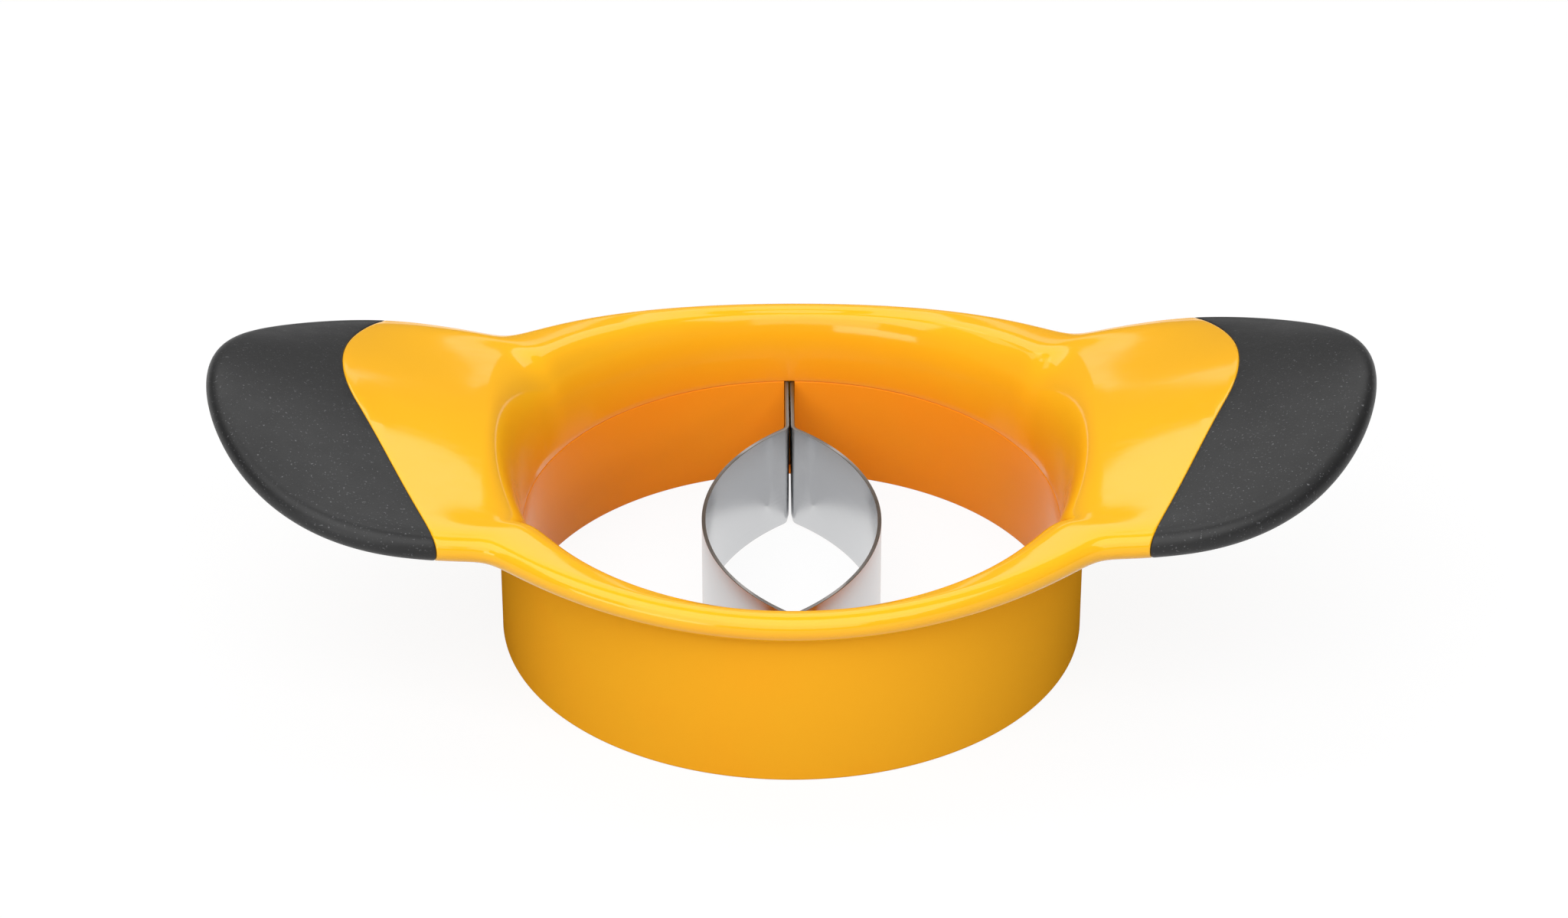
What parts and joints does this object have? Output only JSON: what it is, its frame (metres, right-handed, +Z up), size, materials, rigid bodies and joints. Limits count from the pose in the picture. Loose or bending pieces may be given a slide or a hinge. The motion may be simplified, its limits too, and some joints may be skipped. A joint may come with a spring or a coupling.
{
  "type": "mango slicer",
  "caption": "Hand-pressed mango slicer: a moulded funnel ring with soft-grip wing handles and bent steel strips that cut round the stone.",
  "frame": {"origin": "on the work surface, at the middle of the ring", "axes": "+X along the wings to the user's right, +Y away from the user, +Z up"},
  "size_m": [0.21, 0.113, 0.0546],
  "materials": {
    "body_orange": "moulded gloss plastic, yellow-orange",
    "ring_orange": "moulded gloss plastic, yellow-orange",
    "blade_steel": "polished stainless strip with a ground lower edge",
    "grip_black": "matt soft-touch overmould with a fine grain"
  },
  "bodies": {
    "root": {"upper_body": "body_orange", "lower_ring": "ring_orange", "blade_left": "blade_steel", "blade_right": "blade_steel", "grip_left": "grip_black", "grip_right": "grip_black"}
  },
  "joints": []
}
